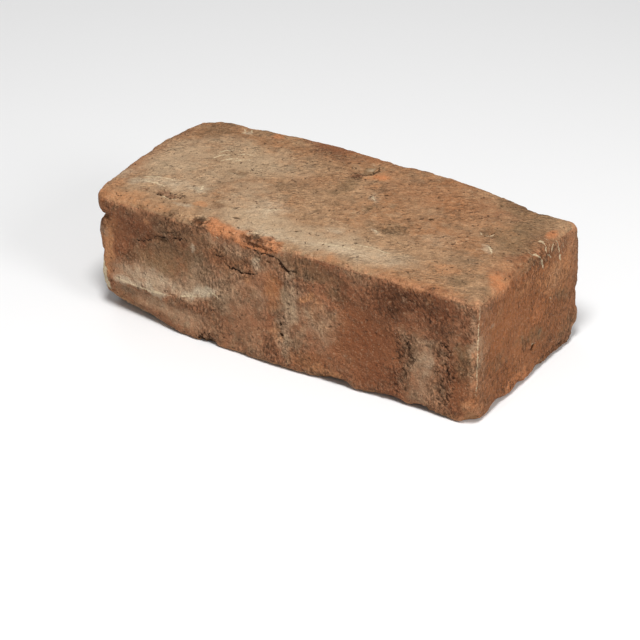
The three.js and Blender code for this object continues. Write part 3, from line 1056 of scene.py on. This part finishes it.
def jagged_line():
    """A thin line, from the distance to its middle and its half width, in millimetres. It wanders
    by half of Sway to each side, and is thinner in places by the share Breaks."""
    inputs = {name: "Float" for name in ("Distance", "Width", "Breaks", "Sway")}
    tree, given, result = group("jagged line", {"Place": "Vector", **inputs}, {"Line": "Float"})
    fine = noise(tree, given["Place"], grain=0.9, detail=2)
    slow = noise(tree, given["Place"], grain=2.6, roughness=0.7)
    off = plus(tree, given["Distance"], about_zero(tree, fine, given["Sway"]))
    thinnest = minus(tree, 1.0, given["Breaks"])
    reach = times(tree, given["Width"], ramp(tree, slow, 0.35, 0.62, thinnest, 1.5))
    line = ramp(tree, minus(tree, reach, maths(tree, "ABSOLUTE", off)), -0.05, 0.18)
    there = ramp(tree, given["Width"], 0.04, 0.15)
    tree.links.new(times(tree, line, there), result["Line"])
    return tree


def crumbled_clay():
    """Torn clay: short slanting gaps between the crumbs, and how high each crumb stands."""
    inputs, outputs = {"Place": "Vector", "Torn": "Float"}, {"Gap": "Float", "Crumb": "Float"}
    tree, given, result = group("crumbled clay", inputs, outputs)
    turn = (0, math.radians(CRUMB_SLANT), 0)
    slanted = add(tree, "Mapping", {"Vector": given["Place"], "Rotation": turn}).outputs[0]
    slanted = add(tree, "Mapping", {"Vector": slanted, "Scale": CRUMB_STRETCH}).outputs[0]
    lumps = noise(tree, slanted, grain=1.25, detail=1.5, roughness=0.5)
    slow = about_zero(tree, noise(tree, given["Place"], grain=4, detail=2), 0.5)
    deep = ramp(tree, plus(tree, lumps, slow), 0.43, 0.35)
    torn_through = ramp(tree, given["Torn"], 0.2, 0.8)
    tree.links.new(times(tree, deep, torn_through), result["Gap"])
    tree.links.new(about_zero(tree, lumps, given["Torn"]), result["Crumb"])
    return tree


# ---------------------------------------------------------------- the fired clay

# How far the mould's strike is turned from the brick's length, in degrees. Noise is stretched by
# these along that strike on the beds, and upright on the sides.
STRIKE_TURN = -28
STRIKE_STRETCH, UPRIGHT_STRETCH = (0.7, 1, 1), (1, 1, 0.6)

# The bare clay: its two colours in broad clouds, then colours in patches over them, and then how
# it gets darker and lighter. A patch says how its noise is stretched, the noise's grain, detail
# and roughness, the values at which it starts and is full, how much it covers, and its colour. A
# tone says its noise's grain and detail, and its swing. The sides are orange, red and grey brown,
# and the beds are paler and greyer.
CLOUD_GRAIN = 24
SIDE_CLAY = (
    [(0.285, 0.136, 0.07, 1), (0.245, 0.1, 0.048, 1)],
    [
        ("even", 10, 5, 0.65, 0.48, 0.64, 0.8, (0.24, 0.146, 0.084, 1)),
        ("even", 5, 5, 0.7, 0.54, 0.7, 0.4, (0.36, 0.18, 0.09, 1)),
        ("upright", 2.6, 4, 0.7, 0.46, 0.34, 0.55, (0.12, 0.058, 0.031, 1)),
    ],
    [(13, 3, 0.17), (6, 3, 0.14)],
)
BED_CLAY = (
    [(0.33, 0.193, 0.103, 1), (0.3, 0.151, 0.072, 1)],
    [
        ("even", 12, 5, 0.65, 0.5, 0.66, 0.7, (0.245, 0.156, 0.088, 1)),
        ("struck", 5, 5, 0.7, 0.54, 0.7, 0.7, (0.41, 0.25, 0.14, 1)),
        ("struck", 2.6, 5, 0.7, 0.46, 0.34, 0.6, (0.165, 0.084, 0.044, 1)),
    ],
    [(12, 3, 0.22), (5, 4, 0.22)],
)

# What lies on the clay, and the painted shade and light among it, from the lowest layer up: its grain,
# raggedness, softness, cover and colour.
LAYERS = {
    "warm": (6, 0.8, 0.5, 0.8, (0.285, 0.104, 0.038, 1)),
    "rust": (6, 1.0, 0.45, 0.8, (0.175, 0.06, 0.026, 1)),
    "pale": (6, 1.1, 0.5, 0.7, (0.45, 0.328, 0.208, 1)),
    "ash": (4, 1.3, 0.42, 0.75, (0.19, 0.116, 0.059, 1)),
    # Dark clay, and painted shade under the overhangs of the front.
    "deep": (4, 1.3, 0.45, 0.65, (0.115, 0.045, 0.021, 1)),
    "rubbed": (5, 1.4, 0.42, 0.75, (0.44, 0.205, 0.092, 1)),
    "raw": (3, 1.3, 0.4, 0.8, (0.45, 0.172, 0.07, 1)),
    # Soot, and painted shade under the ledges of the front.
    "soot_and_painted_shade": (2.2, 1.8, 0.25, 0.65, (0.06, 0.024, 0.011, 1)),
    # Dust, and painted light on the low slope of the front.
    "dust_and_painted_light": (4, 1.2, 0.5, 0.7, (0.52, 0.42, 0.295, 1)),
    "lime": (3, 1.4, 0.25, 0.95, (0.62, 0.51, 0.34, 1)),
}

# The fresh clay that shows where an arris is worn.
FRESH_CLAY = (0.44, 0.2, 0.1, 1)

# The small marks over all that, from the lowest up: how much they cover, and their colour.
MARKS = {
    "pale grit": (0.2, (0.52, 0.37, 0.23, 1)),
    "dark grit": (0.45, (0.085, 0.037, 0.019, 1)),
    # Painted shade: small pits, painted dark as well as pressed in.
    "shaded pinholes": (0.65, (0.07, 0.034, 0.02, 1)),
    # Pale scratches, and a painted highlight along one ridge of the front.
    "pale lines": (0.75, (0.6, 0.47, 0.3, 1)),
    "proud crumbs": (1.0, (0.38, 0.22, 0.13, 1)),
    # Painted shade: the cracks, the creases and gaps between crumbs, the pits and the hollows, painted
    # dark.
    "shaded gaps": (1.0, (0.04, 0.018, 0.009, 1)),
}

# The wrinkles, first as they darken and lighten the clay and then as they stand out. Both give the
# sides' and then the beds' noise, by grain, detail and roughness, and how strong it is.
WRINKLE_TONES, WRINKLE_SWING = [(1.5, 4, 0.65), (1.4, 3, 0.6)], (0.27, 0.2)
WRINKLE_FORMS, WRINKLE_HEIGHT = [(1.5, 1, 0.5), (1.4, 1, 0.5)], (2.7, 1.45)

# How much the sand darkens and lightens the clay, and how far the fine relief beside the wrinkles
# stands out, in millimetres.
SAND_SWING = 0.16
HEIGHTS = {
    "lumps": 1.5,
    "sand": 0.5,
    "crumbs": 3.5,
    "dark grit": -0.3,
    "shaded pinholes": -0.8,
    "open gaps": -1.2,
}

# How dull the clay is in its hollows and on its lumps, and how much it shines.
DULL_HOLLOWS, DULL_LUMPS, CLAY_SHINE = 0.95, 0.82, 0.12


def noise_places(tree):
    """Where noise is taken: even, stretched upright, stretched along the strike, and for films
    stretched along the strike on the beds alone."""
    even = add(tree, "TexCoord").outputs["Object"]
    turn = (0, 0, math.radians(STRIKE_TURN))
    struck = add(tree, "Mapping", {"Vector": even, "Rotation": turn}).outputs[0]
    struck = add(tree, "Mapping", {"Vector": struck, "Scale": STRIKE_STRETCH}).outputs[0]
    upright = add(tree, "Mapping", {"Vector": even, "Scale": UPRIGHT_STRETCH}).outputs[0]
    film = mixed(tree, value_of(tree, "bed"), even, struck, kind="VECTOR")
    return {"even": even, "struck": struck, "upright": upright, "film": film}


def by_face(tree, on_bed, side, bed):
    """One value on the sides and another on the beds."""
    return mixed(tree, on_bed, side, bed, kind="FLOAT")


def wrinkled(tree, places, on_bed, side, bed):
    """The clay's wrinkles, upright on the sides and along the strike on the beds."""
    side, bed = noise(tree, places["upright"], *side), noise(tree, places["struck"], *bed)
    return by_face(tree, on_bed, side, bed)


def bare_clay(tree, places, clouds, patches, tones):
    """The bare clay's colour on the sides or on the beds."""
    cloud = noise(tree, places["even"], CLOUD_GRAIN)
    colour = mixed(tree, ramp(tree, cloud, 0.4, 0.6), *clouds)
    for stretch, grain, detail, roughness, start, full, cover, tint in patches:
        spots = noise(tree, places[stretch], grain, detail, roughness)
        colour = mixed(tree, ramp(tree, spots, start, full, end=cover), colour, tint)
    for grain, detail, swing in tones:
        colour = toned(tree, colour, noise(tree, places["even"], grain, detail), swing)
    return colour


def stained(tree, colour, place):
    """The colour with each layer of stain, dust, lime and painted shade and light over it."""
    film = ragged_film()
    for kind, (grain, raggedness, softness, cover, tint) in LAYERS.items():
        sockets = {
            "Place": place,
            "Patch": value_of(tree, kind),
            "Grain": 1 / (grain * MM),
            "Raggedness": raggedness,
            "Softness": softness,
        }
        share = times(tree, placed(tree, film, sockets)["Film"], cover)
        colour = mixed(tree, share, colour, tint)
    return colour


def worn_arrises(tree, place):
    """How much fresh clay shows, where the arrises stand out and are rubbed down."""
    ragged = about_zero(tree, noise(tree, place, grain=5, detail=4, roughness=0.7), 1.6)
    proud = ramp(tree, plus(tree, value_of(tree, "broad_relief"), ragged), 0.45, 0.95)
    return times(tree, proud, ramp(tree, value_of(tree, "arris"), 0.1, 0.4, end=0.5))


def grit_and_pinholes(tree, places, on_bed, rough):
    specks = ragged_specks()

    def speckled(stretch, grain, share):
        sockets = {"Place": places[stretch], "Grain": 1 / (grain * MM), "Share": share}
        return placed(tree, specks, sockets)["Speck"]

    dark = speckled("upright", grain=1.0, share=by_face(tree, on_bed, 0.55, 0.22))
    return {
        "pale grit": speckled("film", grain=1.1, share=0.45),
        "dark grit": times(tree, dark, rough),
        "shaded pinholes": speckled("even", grain=2.3, share=0.15),
    }


def lines_and_gaps(tree, place):
    """The pale lines, cracks, crumbs and gaps. What is carved into the mesh gets its colour here: the
    cracks, the creases and gaps between crumbs, the pits and the hollows of the fine relief are painted
    dark, as painted shade.
    """
    lines = jagged_line()

    def lined(distance, width, breaks, sway):
        sockets = {"Distance": value_of(tree, distance), "Width": value_of(tree, width)}
        sockets |= {"Place": place, "Breaks": breaks, "Sway": sway}
        return placed(tree, lines, sockets)["Line"]

    crack = lined("crack", "gape", breaks=1.0, sway=1.8)
    torn, fine = value_of(tree, "torn"), value_of(tree, "fine_relief")
    clay = placed(tree, crumbled_clay(), {"Place": place, "Torn": torn})
    stands = plus(tree, clay["Crumb"], times(tree, fine, 0.3))
    proud = ramp(tree, stands, 0.05, 0.17, end=0.45)
    ragged = about_zero(tree, noise(tree, place, grain=1.3, roughness=0.7), 1.4)
    crease = ramp(tree, plus(tree, value_of(tree, "crease"), ragged), 0.6, 1.1, end=0.35)
    pit = ramp(tree, value_of(tree, "pit"), 0.35, 0.9, end=0.8)
    # Painted shade in the hollows of the fine relief.
    hollow_shade = ramp(tree, fine, -0.08, -0.4, end=0.45)
    gap = larger(tree, larger(tree, times(tree, clay["Gap"], 0.75), crease), pit)
    return {
        "pale lines": lined("pale_line", "breadth", breaks=0.55, sway=0.8),
        "crumbs": clay["Crumb"],
        "proud crumbs": times(tree, proud, torn),
        "open gaps": larger(tree, crack, gap),
        "shaded gaps": larger(tree, gap, larger(tree, hollow_shade, crack)),
    }


def clay_colour(tree, places, on_bed, rough, wrinkles, marks):
    """The clay's colour, from the bare clay up to the small marks."""
    side, bed = (bare_clay(tree, places, *clay) for clay in (SIDE_CLAY, BED_CLAY))
    colour = stained(tree, mixed(tree, on_bed, side, bed), places["film"])
    colour = mixed(tree, worn_arrises(tree, places["even"]), colour, FRESH_CLAY)
    swing = times(tree, rough, by_face(tree, on_bed, *WRINKLE_SWING))
    colour = toned(tree, colour, wrinkles, swing)
    sand = noise(tree, places["even"], grain=0.6, detail=2)
    colour = toned(tree, colour, sand, SAND_SWING)
    for name, (cover, tint) in MARKS.items():
        colour = mixed(tree, times(tree, marks[name], cover), colour, tint)
    return colour


def clay_height(tree, places, on_bed, rough, marks):
    """How far the fine relief stands out, in millimetres."""
    reach = times(tree, by_face(tree, on_bed, *WRINKLE_HEIGHT), rough)
    height = times(tree, wrinkled(tree, places, on_bed, *WRINKLE_FORMS), reach)
    lumps = noise(tree, places["even"], grain=3.6, detail=1, roughness=0.5)
    sand = noise(tree, places["even"], grain=0.8, detail=0)
    forms = {**marks, "lumps": lumps, "sand": sand}
    for name, high in HEIGHTS.items():
        height = plus(tree, height, times(tree, forms[name], high))
    return height


def fired_clay():
    material = bpy.data.materials.new("fired clay")
    material.use_nodes = True
    tree = material.node_tree
    tree.nodes.clear()
    places = noise_places(tree)
    even = places["even"]
    ragged = about_zero(tree, noise(tree, even, grain=6, detail=4, roughness=0.65), 1.6)
    on_bed = ramp(tree, plus(tree, value_of(tree, "bed"), ragged), 0.35, 0.7)
    smoothed = times(tree, ramp(tree, value_of(tree, "smooth"), 0.1, 0.7), 0.8)
    rough = ramp(tree, noise(tree, even, grain=16), 0.38, 0.62, start=0.3, end=1.2)
    rough = times(tree, rough, minus(tree, 1.0, smoothed))
    wrinkles = wrinkled(tree, places, on_bed, *WRINKLE_TONES)
    marks = grit_and_pinholes(tree, places, on_bed, rough) | lines_and_gaps(tree, even)
    height = clay_height(tree, places, on_bed, rough, marks)
    sockets = {
        "Base Color": clay_colour(tree, places, on_bed, rough, wrinkles, marks),
        "Roughness": ramp(tree, wrinkles, 0.2, 0.8, DULL_HOLLOWS, DULL_LUMPS),
        "Specular IOR Level": CLAY_SHINE,
        "Normal": add(tree, "Bump", {"Height": height, "Distance": MM, "Strength": 1.0}).outputs[0],
    }
    shader = add(tree, "BsdfPrincipled", sockets)
    add(tree, "OutputMaterial", {"Surface": shader.outputs[0]})
    return material


# ---------------------------------------------------------------- studio

# The floor's colour, dullness and shine, and how far it reaches from the middle, in metres.
PAPER = (0.82, 0.82, 0.82, 1)
PAPER_DULLNESS, PAPER_SHINE = 0.9, 0.1
FLOOR_REACH = 6.0

# Soft round lights, aimed at the brick: where each stands and how wide it is, in metres, and its
# power in watts. The white room around them gives a little light too.
LIGHTS = {
    "key": ((0.22, -0.42, 1.12), 0.35, 12.4),
    "right fill": ((1.2, -0.3, 0.8), 0.6, 7.2),
    "back fill": ((-1.1, 0.9, 0.7), 0.6, 2),
}
ROOM_LIGHT = 0.3

# The camera stands where these say, from the middle of the blank's bed: how far round from the
# front, how high and how much it leans, in degrees, and how far off, aside and up, in millimetres.
CAMERA_ROUND, CAMERA_HIGH, CAMERA_LEAN = 31.832, 29.977, 0.368
CAMERA_AWAY, CAMERA_ASIDE, CAMERA_UP = 1321.7, -7.214, -0.606
LENS, SENSOR = 150, 36


def make_camera():
    camera = bpy.data.objects.new("camera", bpy.data.cameras.new("camera"))
    bpy.context.collection.objects.link(camera)
    camera.data.lens, camera.data.sensor_width = LENS, SENSOR
    around, high, lean = (math.radians(angle) for angle in (CAMERA_ROUND, CAMERA_HIGH, CAMERA_LEAN))
    turn = Matrix.Rotation(around, 4, "Z") @ Matrix.Rotation(math.pi / 2 - high, 4, "X")
    turn = turn @ Matrix.Rotation(lean, 4, "Z")
    middle = Vector(CORNER) + Vector((LENGTH / 2, WIDTH / 2, 0))
    shift = Matrix.Translation(Vector((CAMERA_ASIDE, CAMERA_UP, CAMERA_AWAY)) * MM)
    camera.matrix_world = Matrix.Translation(middle * MM) @ turn @ shift
    bpy.context.scene.camera = camera


def plain_paper():
    material = bpy.data.materials.new("pale paper")
    material.use_nodes = True
    shader = material.node_tree.nodes["Principled BSDF"]
    shader.inputs["Base Color"].default_value = PAPER
    shader.inputs["Roughness"].default_value = PAPER_DULLNESS
    shader.inputs["Specular IOR Level"].default_value = PAPER_SHINE
    return material


def make_floor():
    corners = [(-1, -1), (1, -1), (1, 1), (-1, 1)]
    mesh = bpy.data.meshes.new("floor")
    mesh.from_pydata([(FLOOR_REACH * x, FLOOR_REACH * y, 0) for x, y in corners], [], [(0, 1, 2, 3)])
    mesh.materials.append(plain_paper())
    floor = bpy.data.objects.new("floor", mesh)
    bpy.context.collection.objects.link(floor)


def soft_light(name, place, size, power):
    light = bpy.data.objects.new(name, bpy.data.lights.new(name, "AREA"))
    bpy.context.collection.objects.link(light)
    light.data.shape = "DISK"
    light.data.size = size
    light.data.energy = power
    light.location = place
    light.rotation_euler = (-Vector(place)).to_track_quat("-Z", "Y").to_euler()


def make_studio():
    make_floor()
    for name, (place, size, power) in LIGHTS.items():
        soft_light(name, place, size, power)
    world = bpy.data.worlds.new("studio")
    bpy.context.scene.world = world
    world.use_nodes = True
    background = world.node_tree.nodes["Background"]
    background.inputs["Color"].default_value = (1, 1, 1, 1)
    background.inputs["Strength"].default_value = ROOM_LIGHT
    bpy.context.scene.view_settings.view_transform = "Standard"


make_camera()
make_brick()
make_studio()
